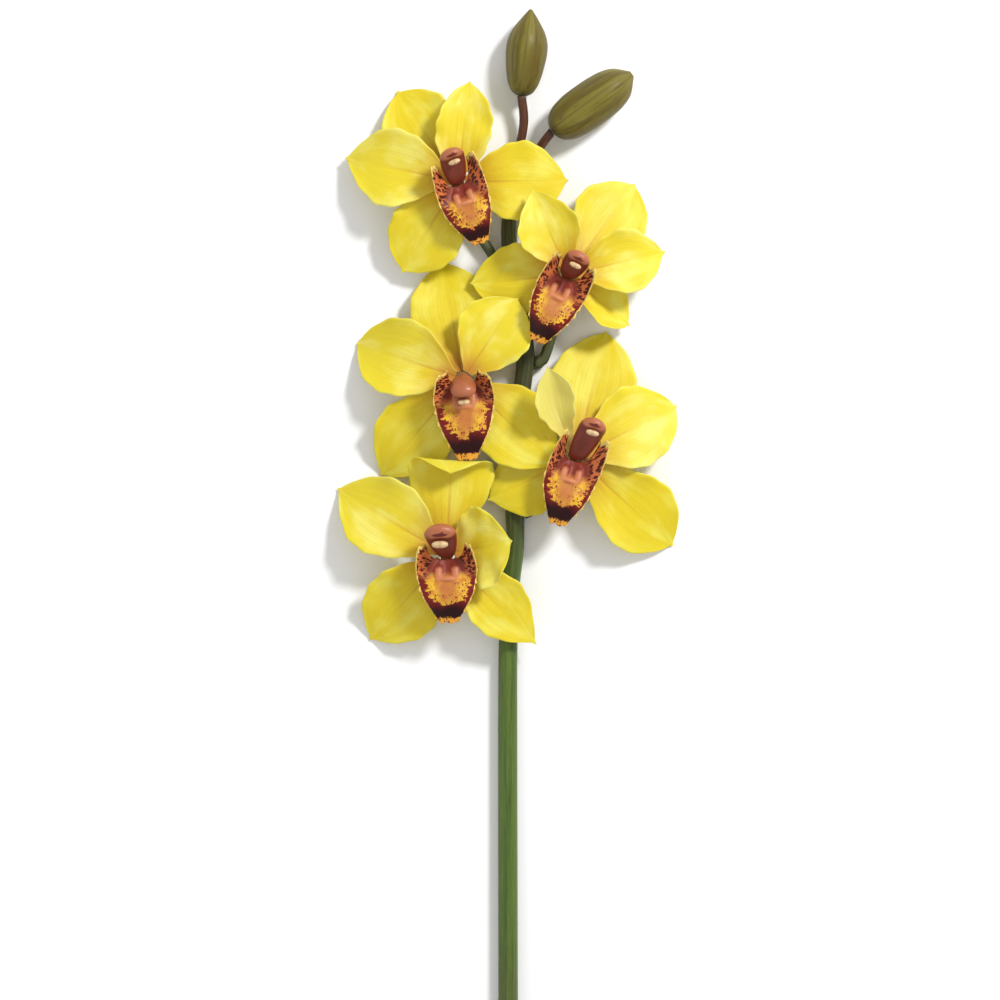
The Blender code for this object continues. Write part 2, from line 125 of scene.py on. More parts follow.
Flower = namedtuple("Flower", "heart lip column joint tepals scale", defaults=(1.0,))
"""heart: where the tepals meet. lip: bearing, length, width, how far its side lobes reach back, and how
much they lean along with the column. column: x, y and z of its head from the heart, and how far it nods
to the lip. joint: the pedicel's start on the stem, as y and side. scale: how large the column is."""

FLOWERS = {
    "flower_1": Flower(
        (-27.0, 189.0, 21.0),
        (291, 36.0, 28.0, 9.0, 1.0),
        (-3.2, 13.8, 20.0, 0.1),
        (147.0, -1),
        {
            "dorsal_sepal": Tepal(123, 60, 1.2, 40, 1, 2, 0.10, 0, 1.35, 0.72, 0.8),
            "left_petal": Tepal(167, 62, 7.0, 43, 3, 7, 0.10, 0, 1.1, 0.85, 0.6),
            "right_petal": Tepal(83, 54, 19.0, 31, -1, 2, 0.10, 0, 1.0, 0.62, 1.0),
            "left_sepal": Tepal(238, 56, 9.0, 42, 1, 3, 0.06, 0, 1.25, 0.72, 0.6),
            "right_sepal": Tepal(1, 59, 17.0, 43, 1, 2, 0.05, 0, 1.1, 0.70, 0.8),
        },
    ),
    "flower_2": Flower(
        (33.0, 138.0, 25.0),
        (245, 40.0, 28.0, 7.5, 1.0),
        (5.8, 8.6, 19.0, 0.1),
        (91.0, 1),
        {
            "dorsal_sepal": Tepal(54, 62, 2.0, 40, 1, 3, 0.08, 0, 1.35, 0.68, 0.8),
            "left_petal": Tepal(113, 49, 27.0, 33, 1, 5, 0.20, 0, 1.0, 0.90, 0.4),
            "right_petal": Tepal(14, 54, 11.0, 35, 3, 8, 0.16, 0, 1.1, 0.90, 0.8),
            "left_sepal": Tepal(184, 52, 12.4, 38, -2, -2, 0.05, 0, 1.0, 0.70, 0.4),
            "right_sepal": Tepal(322, 42, 7.0, 28, 1, 2, 0.20, -38, 1.3, 0.75, 1.0),
        },
    ),
    "flower_3": Flower(
        (-24.0, 81.5, 22.0),
        (273, 44.0, 33.0, 8.0, 0.0),
        (0.5, -10.0, 18.5, 1.1),
        (38.0, -1),
        {
            "dorsal_sepal": Tepal(100, 65, 1.2, 43, 0, 0, 0.05, 0, 1.25, 0.70, 0.5),
            "left_petal": Tepal(161, 61, 1.2, 44, 4, 10, 0.12, 0, 1.2, 0.75, 0.7),
            "right_petal": Tepal(56, 52, 21.5, 41, 0, 2, 0.08, 0, 1.2, 0.68, 0.8),
            "left_sepal": Tepal(229, 68, 1.2, 42, 2, 6, 0.10, 0, 1.2, 0.78, 0.7),
            "right_sepal": Tepal(317, 68, 22.0, 44, -1, 0, 0.03, 0, 1.1, 0.85, 0.5),
        },
    ),
    "flower_4": Flower(
        (37.5, 39.0, 22.0),
        (254, 38.0, 29.0, 8.0, 0.9),
        (10.0, 18.0, 20.0, 0.0),
        (9.0, 1),
        {
            "dorsal_sepal": Tepal(76, 70, 1.2, 47, 0, 0, 0.05, 0, 1.25, 0.72, 0.6),
            "left_petal": Tepal(108, 50, 40.0, 22, -5, 1, 0.28, 0, 1.75, 0.85, 0.6, 2.5, 0.0, 2.0),
            "right_petal": Tepal(27, 61, 6.5, 44, 3, 6, 0.08, 0, 1.2, 0.66, 0.9),
            "left_sepal": Tepal(206, 52, 11.8, 40, -4, -1, 0.03, 0, 1.1, 0.85, 0.6),
            "right_sepal": Tepal(318, 71, 1.2, 43, 2, 6, 0.08, 0, 1.35, 0.72, 0.9),
        },
        1.08,
    ),
    "flower_5": Flower(
        (-33.0, -14.0, 22.0),
        (272, 37.0, 33.0, 8.0, 0.4),
        (-3.5, 12.0, 21.0, 0.2),
        (-42.0, -1),
        {
            "dorsal_sepal": Tepal(87, 50, 31.0, 48, -8, -12, -0.03, 0, 1.5, 0.60, 1.0, 3.0, 33.0),
            "left_petal": Tepal(149, 69, 1.2, 44, 4, 9, 0.10, 0, 1.1, 0.85, 1.0),
            "right_petal": Tepal(12, 35, 38.0, 44, -5, 3, 0.04, 0, 1.0, 0.60, 1.2, 3.0),
            "left_sepal": Tepal(228, 62, 1.2, 42, 2, 6, 0.08, 0, 1.2, 0.78, 0.7),
            "right_sepal": Tepal(315, 68, 13.6, 33, 1, 3, 0.08, 0, 1.1, 0.95, 0.8),
        },
        1.35,
    ),
}

# Buds. joint: where the pedicel leaves the side of the stem, or None where it carries on from its tip.
# stalk: the points that the pedicel passes, up to the bud. outline: half-width from base to tip, as shares
# of radius.
Bud = namedtuple("Bud", "joint stalk tip radius outline")
BUDS = {
    "bud_1": Bud(
        None,
        ((3.7, 187.9, 3.6), (5.6, 202.0, 5.5), (9.2, 222.0, 8.5), (8.0, 236.5, 11.0)),
        (13.0, 284.0, 12.5),
        11.4,
        (0.40, 0.70, 0.85, 0.94, 1.0, 0.97, 0.79, 0.46, 0.07),
    ),
    "bud_2": Bud(
        (176.0, 1),
        ((12.2, 192.0, 7.0), (17.5, 207.5, 10.0), (24.5, 217.2, 13.0)),
        (68.2, 248.5, 14.0),
        12.6,
        (0.46, 0.80, 0.94, 0.99, 1.0, 0.98, 0.90, 0.68, 0.15),
    ),
}
BUD_STALK_RADIUS = 2.6
BUD_KEEL = 0.05  # how much the three outer leaves of a bud round it into a triangle

# How finely the pieces are made
TEPAL_FINE = (46, 32)
LIP_FINE = (84, 60)
STEM_FINE = (150, 42)
STALK_FINE = (40, 24)
COLUMN_FINE = (36, 36)
BUD_FINE = (60, 64)
CAP_FINE = (20, 24)

# Fine relief of a tepal, in millimetres
MIDRIB = 0.45
FURROW = 0.07
SWELL = 0.75  # broad, soft undulation
FRILL = 0.5  # small waves of the margin
POINT = 1.6  # the small point at a tepal's tip
UNEVEN = 0.035  # how much the two sides of a tepal differ from their outline, as a share

# Fine relief of a lip, in millimetres
THROAT = 1.7  # how much nearer to the column the lip starts than its CAD piece
LIP_TRIM = 0.8  # how much shorter the sides of a lip's tip are than in its CAD piece
LIP_DROOP = 0.5  # how far the tip of the lip turns down
CALLUS = 1.9  # the U-shaped ridge in the lip's throat

# Stem, pedicels and buds
STEM_RIBS = 11
CUT_BEVEL = (0.25, 0.94)  # how far the stem's cut edge is set back, and its size there as a share
OVARY_DROP = 0.4  # how much lower an ovary ends than its CAD piece, to clear a leaning column
BUD_SEAMS = ((0.55, 0.5), (2.5, -0.35), (4.6, 0.4))  # angle at the base and turn towards the tip
BUD_BASE = 0.06  # share of a bud's length over which its base rounds off
LOT_STEP = 0.37  # how far apart the patterns of one piece and the next are

# The surface, the view and the light, in metres and watts
FLOOR_SIZE = 12.0
VIEW_WIDTH = 0.55  # how much of the surface the camera sees
VIEW_DISTANCE = 2.2
VIEW_OFFSET = (-3.85, 15.7)  # the middle of the view, in the tables' coordinates
LIGHT_TARGET = (0.0, 0.1, 0.02)  # where both lamps point
KEY_POWER = 40.0
FILL_POWER = 6.0
WORLD_STRENGTH = 0.62


# ---------------------------------------------------------------- shapes


def unit(vectors):
    """The vectors, scaled to length 1."""
    return vectors / np.linalg.norm(vectors, axis=-1, keepdims=True)


def centring():
    """How far centring the CAD part on its origin moved the tables' coordinates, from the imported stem."""
    low, high = (np.array(corner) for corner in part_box("stem"))
    x, y, radius = np.array(STEM_LINE).T
    right = (x + radius).max() * MM
    middle = (y[0] + y[-1]) / 2 * MM
    return np.array([high[0] - right, (low[1] + high[1]) / 2 - middle, 0.0])


def bezier(controls, t):
    """Points on a cubic curve at the parameters t."""
    a, b, c, d = (np.asarray(p, float) for p in controls)
    t = np.asarray(t)[:, None]
    s = 1 - t
    return s**3 * a + 3 * s * s * t * b + 3 * s * t * t * c + t**3 * d


def spline(knots, count):
    """A smooth line with count points through the knots, evenly spread along its length."""
    knots = np.asarray(knots, float)
    ends = np.vstack([2 * knots[0] - knots[1], knots, 2 * knots[-1] - knots[-2]])
    line = []
    for i in range(len(knots) - 1):
        p, q, r, s = ends[i : i + 4]
        t = np.linspace(0, 1, 12, endpoint=False)[:, None]
        line.append(
            0.5 * (2 * q + (r - p) * t + (2 * p - 5 * q + 4 * r - s) * t**2 + (3 * q - p - 3 * r + s) * t**3)
        )
    line = np.vstack(line + [knots[-1:]])
    run = np.concatenate([[0], np.cumsum(np.linalg.norm(np.diff(line[:, :3], axis=0), axis=1))])
    even = np.linspace(0, run[-1], count)
    return np.column_stack([np.interp(even, run, line[:, k]) for k in range(line.shape[1])])


def profile(values, t):
    """A smooth curve through evenly spaced values, at t from 0 to 1."""
    values = np.asarray(values, float)
    ends = np.concatenate([[2 * values[0] - values[1]], values, [2 * values[-1] - values[-2]]])
    place = np.clip(t, 0, 1) * (len(values) - 1)
    i = np.minimum(place.astype(int), len(values) - 2)
    f = place - i
    p, q, r, s = (ends[i + k] for k in range(4))
    return 0.5 * (2 * q + (r - p) * f + (2 * p - 5 * q + 4 * r - s) * f**2 + (3 * q - p - 3 * r + s) * f**3)


def dense_ends(count):
    """Steps from 0 to 1 that lie closer together near both ends."""
    return (1 - np.cos(math.pi * np.linspace(0, 1, count + 1))) / 2


def bell(x, width):
    """1 where x is 0, falling smoothly to nothing at about twice the width."""
    return np.exp(-((x / width) ** 2))


def sheet_faces(rows, columns):
    """Faces of a closed sheet: its top points come first, then its bottom points, row by row."""
    count = rows * columns
    i, j = np.meshgrid(np.arange(rows - 1), np.arange(columns - 1), indexing="ij")
    k = (i * columns + j).ravel()
    top = np.stack([k, k + 1, k + columns + 1, k + columns], axis=1)
    bottom = count + top[:, ::-1]
    rim = np.concatenate(
        [
            np.arange(columns),
            np.arange(1, rows) * columns + columns - 1,
            (rows - 1) * columns + np.arange(columns - 2, -1, -1),
            np.arange(rows - 2, 0, -1) * columns,
        ]
    )
    onward = np.roll(rim, -1)
    walls = np.stack([onward, rim, count + rim, count + onward], axis=1)
    return np.concatenate([top, bottom, walls]).tolist()


def add_piece(name, points, faces, shade, marks):
    """A smooth piece that stands for the CAD node of that name. marks are named values at its points."""
    mesh = bpy.data.meshes.new(name)
    mesh.from_pydata((np.asarray(points) * MM + SHIFT).tolist(), [], faces)
    mesh.polygons.foreach_set("use_smooth", np.ones(len(mesh.polygons), bool))
    for mark, values in marks.items():
        attribute = mesh.attributes.new(mark, "FLOAT_VECTOR", "POINT")
        attribute.data.foreach_set("vector", np.asarray(values, np.float32).ravel())
    mesh.materials.append(shade)
    mesh.update()
    piece = bpy.data.objects.new(f"{name}_fine", mesh)
    bpy.context.scene.collection.objects.link(piece)
    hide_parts(name)
    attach(piece, "root")
    return piece


def add_sheet(name, grid, half, shade, marks):
    """A closed sheet about a grid of points. half is half its thickness at each point."""
    rows, columns = grid.shape[:2]
    grid = np.concatenate([grid[..., :2], np.maximum(grid[..., 2:], half[..., None] + REST)], axis=2)
    normal = unit(np.cross(np.gradient(grid, axis=0), np.gradient(grid, axis=1)))
    offset = normal * half[..., None]
    points = np.concatenate([(grid + offset).reshape(-1, 3), (grid - offset).reshape(-1, 3)])
    count = rows * columns
    both = {mark: np.concatenate([values.reshape(-1, 3)] * 2) for mark, values in marks.items()}
    both["leaf"][:count, 2] = 0.0
    both["leaf"][count:, 2] = 1.0
    add_piece(name, points, sheet_faces(rows, columns), shade, both)


def soft_waves(chance, u, v, amounts):
    """A smooth, irregular height over a blade, from a few broad waves."""
    total = 0
    for k, amount in enumerate(amounts):
        turn, shift = chance.uniform(-1, 1), chance.uniform(0, 2 * math.pi)
        phase = (0.8 + 0.7 * k) * u + (0.3 + 0.45 * k) * turn * v
        total = total + amount * np.sin(2 * math.pi * phase + shift)
    return total


def add_tepal(name, flower, level, tepal, shade, seed):
    """A sepal or petal with its midrib, furrows, soft undulation and slightly frilled margin."""
    chance = np.random.default_rng(seed)
    u = dense_ends(TEPAL_FINE[0])[:, None]
    v = np.linspace(-1, 1, TEPAL_FINE[1] + 1)[None, :]
    heart = flower.heart
    base = heart[2] + level
    controls = (
        (TEPAL_START, base),
        (TEPAL_START + (tepal.reach - TEPAL_START) / 3, base + (tepal.tip - base) / 3 + tepal.rise),
        (tepal.reach * 0.7 + tepal.curl, base + 2 * (tepal.tip - base) / 3 + tepal.bow),
        (tepal.reach - tepal.curl * 0.15, tepal.tip),
    )
    line = bezier(controls, u[:, 0])
    slope = unit(np.gradient(line, axis=0))
    blade = np.sin(math.pi * u**tepal.widest).clip(0) ** tepal.blunt * tepal.width / 2
    half = np.hypot(blade, CLAW_HALF_WIDTH + (TIP_HALF_WIDTH - CLAW_HALF_WIDTH) * u)
    uneven = UNEVEN * np.sin(2 * math.pi * (1.3 * u + chance.uniform(0, 1, (1, 2))))
    sides = np.where(v < 0, uneven[:, :1], uneven[:, 1:])
    frill = np.sin(2 * math.pi * (5.3 * u + chance.uniform()) + 2 * np.sign(v)) * np.sin(math.pi * u)
    side = half * v * (1 + sides * np.abs(v)) + 0.4 * frill * np.sign(v) * v**6
    wave = tepal.ripple * np.sin(2 * math.pi * tepal.waves * u + tepal.bearing)
    wave = wave * v**2 * np.where(v < 0, 1, -0.8) * np.sin(math.pi * u)
    relief = (
        wave
        - MIDRIB * bell(v, 0.07) * (1 - u) ** 0.6
        + FURROW * np.cos(9 * math.pi * v) * np.sin(math.pi * u)
        + SWELL * soft_waves(chance, u, v, (0.5, 0.6, 0.4)) * (0.25 + v**2) * np.sin(math.pi * u)
        + FRILL * frill * v**6
    )
    lift = tepal.cup * half * v**2 * 2 + relief
    roll = math.radians(tepal.roll) * np.sin(u * math.pi / 2)
    s = side * np.cos(roll) - lift * np.sin(roll) + tepal.sway * np.sin(math.pi * u)
    n = side * np.sin(roll) + lift * np.cos(roll)
    reach = POINT * bell(1 - u, 0.03) * (1 - np.abs(v))
    r = line[:, :1] - slope[:, 1:] * n + reach * slope[:, :1]
    z = line[:, 1:] + slope[:, :1] * n
    turn = math.radians(tepal.bearing)
    x = heart[0] + r * math.cos(turn) - s * math.sin(turn)
    y = heart[1] + r * math.sin(turn) + s * math.cos(turn)
    grid = np.stack([x, y, z], axis=2)
    thick = TEPAL_THICKNESS / 2 * (1 - 0.62 * v**2) * (1 - 0.45 * u**3)
    leaf = np.stack([u + 0 * v, v + 0 * u, 0 * x], axis=2)
    lot = np.stack([0 * x + seed * LOT_STEP, half + 0 * v, side], axis=2)
    add_sheet(name, grid, thick, shade, {"leaf": leaf, "lot": lot})


def add_lip(name, flower, shade, seed):
    """A lip with side lobes about the column, two ridges down its middle and a ruffled mid lobe."""
    chance = np.random.default_rng(seed)
    heart = flower.heart
    bearing, length, width, back, lean = flower.lip
    inner = (max(COLUMN_OUTLINE) * flower.scale + LIP_CLEAR) / (width / 2)
    u = np.linspace(0, 1, LIP_FINE[0] + 1)[:, None]
    v = np.linspace(-1, 1, LIP_FINE[1] + 1)[None, :]
    edge = np.abs(v)
    middle = LIP_FOOT + (length - LIP_FOOT) * profile(LIP_MIDDLE, u) - THROAT * bell(u, 0.07)
    rim = -back + (length - LIP_TRIM + back) * u
    a = middle + (rim - middle) * edge**3 + LIP_CORNER * bell(u, 0.1) * edge**6
    s = width / 2 * profile((inner, *LIP_OUTLINE), u) * np.sign(v) * (1 - (1 - edge) ** 1.9)
    shift = chance.uniform(0, 6.28, 4)
    coarse = np.sin(2 * math.pi * LIP_WAVES * u + 1.2 * np.sign(v))
    fine = np.sin(2 * math.pi * 8.5 * u + shift[0] * np.sign(v))
    fine = fine + 0.6 * np.sin(2 * math.pi * 14 * u + shift[1])
    mid = np.clip((u - 0.35) / 0.2, 0, 1)
    ruffle = LIP_RUFFLE * edge**3 * coarse * u * (1 - u**4) + 0.65 * edge**7 * fine * mid
    arm = bell(edge - 0.16, 0.07) * bell((u - 0.36).clip(0), 0.12) * np.clip(u / 0.2, 0, 1)
    bridge = bell(u - 0.46, 0.035) * bell(v, 0.17)
    callus = CALLUS * np.maximum(arm, bridge)
    wall = profile(LIP_WALL, u) * edge**2
    z = profile(LIP_TROUGH, u) + wall + ruffle + callus
    z = z - LIP_DROOP * np.clip((u - 0.86) / 0.14, 0, 1) ** 2
    s = s + np.sign(v) * 0.5 * edge**8 * fine * mid
    a = a + 0.5 * edge**8 * np.sin(2 * math.pi * 11 * u + shift[2]) + 0.5 * bell(1 - u, 0.05) * np.sin(9 * v)
    turn = math.radians(bearing)
    follow = lean * np.maximum(wall, 0) / flower.column[2]
    x = heart[0] + a * math.cos(turn) - s * math.sin(turn) + follow * flower.column[0]
    y = heart[1] + a * math.sin(turn) + s * math.cos(turn) + follow * flower.column[1]
    grid = np.stack([x, y, heart[2] + z], axis=2)
    thick = LIP_THICKNESS / 2 * (1 - 0.6 * edge**3) * (1 - 0.4 * u**4)
    leaf = np.stack([u + 0 * v, v + 0 * u, 0 * x], axis=2)
    lot = np.stack([0 * x + seed * LOT_STEP, a + 0 * v, s], axis=2)
    add_sheet(name, grid, thick + 0 * x, shade, {"leaf": leaf, "lot": lot})


def ring_faces(rings, sides):
    """Faces of a tube made of rings of points, closed at both ends."""
    i, j = np.meshgrid(np.arange(rings - 1), np.arange(sides), indexing="ij")
    k, onward = (i * sides + j).ravel(), (i * sides + (j + 1) % sides).ravel()
    walls = np.stack([k, onward, onward + sides, k + sides], axis=1).tolist()
    last = (rings - 1) * sides
    return walls + [list(range(sides))[::-1], list(range(last, last + sides))]


def ring_frames(line, start_side, ends):
    """Two directions square to the line at each of its points, turning as little as possible."""
    tangent = unit(np.gradient(line, axis=0))
    for place, direction in zip((0, -1), ends):
        if direction is not None:
            tangent[place] = unit(np.asarray(direction, float))
    sides = []
    side = np.asarray(start_side, float)
    for t in tangent:
        side = unit(side - t * side.dot(t))
        sides.append(side)
    sides = np.array(sides)
    return sides, np.cross(tangent, sides)


def add_tube(name, line, width, depth, shade, seed, side=(0, 0, 1), ends=(None, None)):
    """A closed tube. width and depth are its half-sizes along the two ring directions, ring by ring."""
    rings, sides = width.shape
    one, two = ring_frames(line, side, ends)
    points = line[:, None] + one[:, None] * width[..., None] + two[:, None] * depth[..., None]
    share = np.linspace(0, 1, rings)[:, None] + np.zeros((1, sides))
    round_it = np.arange(sides)[None, :] / sides + np.zeros((rings, 1))
    run = np.concatenate([[0], np.cumsum(np.linalg.norm(np.diff(line, axis=0), axis=1))])
    leaf = np.stack([share, round_it, 0 * share], axis=2).reshape(-1, 3)
    lot = np.stack([0 * share + seed * LOT_STEP, run[:, None] + 0 * share, 0 * share], axis=2).reshape(-1, 3)
    add_piece(name, points.reshape(-1, 3), ring_faces(rings, sides), shade, {"leaf": leaf, "lot": lot})


def around(sides):
    """The angles of the points of a ring."""
    return (2 * math.pi * np.arange(sides) / sides)[None, :]


def ribbed(radii, sides, ribs, depth, twist=0.0, shift=0.0):
    """Half-sizes of a round stalk with lengthwise ribs."""
    angle = around(sides)
    along = np.linspace(0, 1, len(radii))[:, None]
    wave = np.cos(ribs * angle + twist * along * 2 * math.pi + shift)
    wave = wave + 0.5 * np.cos((ribs - 4) * angle + 1.3 + shift) * np.sin(3 * along + shift)
    r = radii[:, None] * (1 - depth + depth * wave / 1.5)
    return r * np.cos(angle), r * np.sin(angle)


def stem_at(y):
    """x of the stem's centreline, and its radius, at a distance along it."""
    table = np.array(STEM_LINE)
    return np.interp(y, table[:, 1], table[:, 0]), np.interp(y, table[:, 1], table[:, 2])


def stem_side(y, side):
    """Where a stalk starts, just clear of the stem at that distance along it, and the way it leaves."""
    x, radius = stem_at(y)
    lean = stem_at(y + 1)[0] - stem_at(y - 1)[0]
    out = unit(np.array([side, -side * lean / 2, 0.0]))
    return np.array([x, y, radius]) + out * (radius * (1 + NODE_SWELL) + GAP + JOINT_ROOM), out


def add_stem(shade):
    """The main stem, lying on the surface, thicker where each pedicel leaves it."""
    line = spline([(x, y, 0.0, r) for x, y, r in STEM_LINE], STEM_FINE[0])
    radii = line[:, 3].copy()
    for flower in FLOWERS.values():
        offset = line[:, 1] - flower.joint[0]
        radii += radii * NODE_SWELL * bell(offset, NODE_LENGTH)
    width, depth = ribbed(radii, STEM_FINE[1], STEM_RIBS, STEM_RIB)
    line[:, 2] = radii
    line[0, 1] += CUT_BEVEL[0]
    width[0] *= CUT_BEVEL[1]
    depth[0] *= CUT_BEVEL[1]
    add_tube("stem", line[:, :3], width, depth, shade, 1, (1, 0, 0))


def add_pedicel(name, flower, shade, seed):
    """The stalk from the side of the stem, swelling into the ribbed ovary at the back of the flower."""
    x, y, h = flower.heart
    start, out = stem_side(*flower.joint)
    knots = [
        start,
        start + out * 2.6 + (0, 1.6, 0.2),
        start + out * 6.0 + (0, 6.5, 0.8),
        (x - out[0] * 3.0, y - 13.0, 8.0),
        (x, y - 2.0, h - 8.0),
        (x, y, h - 3.0),
        (x, y, h + HUB_TOP - OVARY_DROP),
    ]
    line = spline(knots, STALK_FINE[0])
    share = np.linspace(0, 1, len(line))
    radii = PEDICEL_RADIUS + 0.9 * bell(share, 0.07) + (OVARY_RADIUS - PEDICEL_RADIUS) * share**2
    width, depth = ribbed(radii, STALK_FINE[1], 6, 0.07, 0.4, seed)
    add_tube(name, line, width, depth, shade, seed, ends=(out, (0, 0, 1)))


def column_line(flower, count):
    """The column's centreline from the top of the ovary to its head, and the way its head faces."""
    x, y, h = flower.heart
    dx, dy, dz, nod = flower.column
    turn = math.radians(flower.lip[0])
    faces = unit(np.array([nod * math.cos(turn), nod * math.sin(turn), 1.0]))
    foot = np.array([x, y, h + HUB_TOP + GAP])
    head = np.array([x + dx, y + dy, h + dz])
    controls = (foot, foot + (dx * 0.1, dy * 0.1, 7.0), head - faces * 8.0, head)
    return bezier(controls, np.linspace(0, 1, count)), faces


def lip_side(flower):
    """The direction square to the lip's bearing, in the plane of the flower."""
    turn = math.radians(flower.lip[0] + 90)
    return np.array([math.cos(turn), math.sin(turn), 0.0])


def add_column(name, flower, shade, seed):
    """The column: rounded behind, hollowed in front between two narrow wings, with a hooded, rounded head."""
    line, faces = column_line(flower, COLUMN_FINE[0])
    share = np.linspace(0, 1, len(line))
    radii = (1 + (flower.scale - 1) * share) * profile(COLUMN_OUTLINE, share)
    dome = np.sqrt(np.clip(1 - ((share - 0.80) / 0.206).clip(0) ** 2, 0.02, 1))
    radii = radii * dome
    angle = around(COLUMN_FINE[1])
    wing = 1 + 0.06 * bell(np.abs(np.cos(angle)) - 1, 0.05) * (1 - share[:, None] ** 4)
    front = COLUMN_FRONT - 0.20 * bell(np.cos(angle), 0.5) * np.sin(math.pi * share[:, None]) ** 0.5
    front = front + 0.05 * share[:, None] ** 6
    width = radii[:, None] * np.cos(angle) * wing
    depth = radii[:, None] * np.sin(angle) * np.where(np.sin(angle) < 0, front, COLUMN_BACK)
    ends = ((0, 0, 1), faces)
    add_tube(name, line, width, depth, shade, seed, lip_side(flower), ends)


def add_cap(name, flower, shade, seed):
    """The cream cap at the column's tip, with a furrow down its middle."""
    line, faces = column_line(flower, 12)
    side = lip_side(flower)
    front = np.cross(side, faces)
    centre = line[-1] - faces * CAP_SET_BACK + front * flower.scale * CAP_FORWARD
    share = dense_ends(CAP_FINE[0] - 1)
    axis = centre + np.outer(np.cos(math.pi * (0.02 + 0.96 * share)), side) * flower.scale * CAP_HALF[0]
    radii = flower.scale * np.sin(math.pi * (0.02 + 0.96 * share)) ** 0.8
    radii = radii * (1 - 0.07 * bell(share - 0.5, 0.06))
    angle = around(CAP_FINE[1])
    width = radii[:, None] * CAP_HALF[1] * np.cos(angle)
    depth = radii[:, None] * CAP_HALF[2] * np.sin(angle)
    add_tube(name, axis, width, depth, shade, seed, front)


def add_bud(name, bud, stalk_shade, bud_shade, seed):
    """A closed bud on its stalk: three outer leaves that overlap along winding seams."""
    knots = list(bud.stalk)
    out = None
    if bud.joint:
        start, out = stem_side(*bud.joint)
        knots = [start, start + out * 2.2 + (0, 1.2, 0.3)] + knots
    stalk = spline(knots, STALK_FINE[0])
    tip = np.array(bud.tip)
    aim = unit(tip - stalk[-1])
    radii = np.full(len(stalk), BUD_STALK_RADIUS)
    width, depth = ribbed(radii, STALK_FINE[1], 5, 0.06, 0.3, seed)
    add_tube(f"{name}_pedicel", stalk, width, depth, stalk_shade, seed, ends=(out, aim))
    base = stalk[-1] + aim * GAP
    share = dense_ends(BUD_FINE[0])
    line = base + share[:, None] * (tip - base)
    radii = bud.radius * profile(bud.outline, share)
    radii = radii * np.sqrt(1 - 0.75 * (1 - share / BUD_BASE).clip(0) ** 2)
    angle = around(BUD_FINE[1])
    r = 1 + BUD_KEEL * np.cos(3 * angle) + 0 * share[:, None]
    for seam, turn in BUD_SEAMS:
        place = (angle - seam - turn * share[:, None] + math.pi) % (2 * math.pi) - math.pi
        r = r + 0.03 * np.exp(-np.abs(place) / 0.5) * np.sign(place) - 0.03 * bell(place, 0.06)
    width, depth = (radii[:, None] * r * f(angle) for f in (np.cos, np.sin))
    add_tube(name, line, width, depth, bud_shade, seed + 5, ends=(aim, aim))


# ---------------------------------------------------------------- materials

# Tepal colours: the ground; a paler yellow for the patches of painted highlight and for the pale rim; gold
# for the painted shade towards the heart and for the veins; tan for the painted shade and reflection at the
# claw and beside the midrib
SEPAL_COLOURS = ((0.70, 0.555, 0.018), (0.76, 0.675, 0.090), (0.57, 0.33, 0.014), (0.44, 0.16, 0.025))
PETAL_COLOURS = ((0.72, 0.590, 0.028), (0.79, 0.715, 0.150), (0.60, 0.37, 0.018), (0.46, 0.18, 0.030))

# Stalk colours: dark streaks, light streaks, at its start and at its end
PEDICEL_COLOURS = ((0.045, 0.050, 0.020), (0.110, 0.120, 0.045), (0.070, 0.080, 0.030), (0.34, 0.12, 0.03))
BUD_STALK_COLOURS = ((0.050, 0.014, 0.007), (0.110, 0.038, 0.016), (0.085, 0.075, 0.026), (0.08, 0.03, 0.015))

CURLED = ("flower_4", "left_petal")  # paler than the others, and curled forward
CURLED_CREAM = 0.55  # how far it is turned from their colours to cream


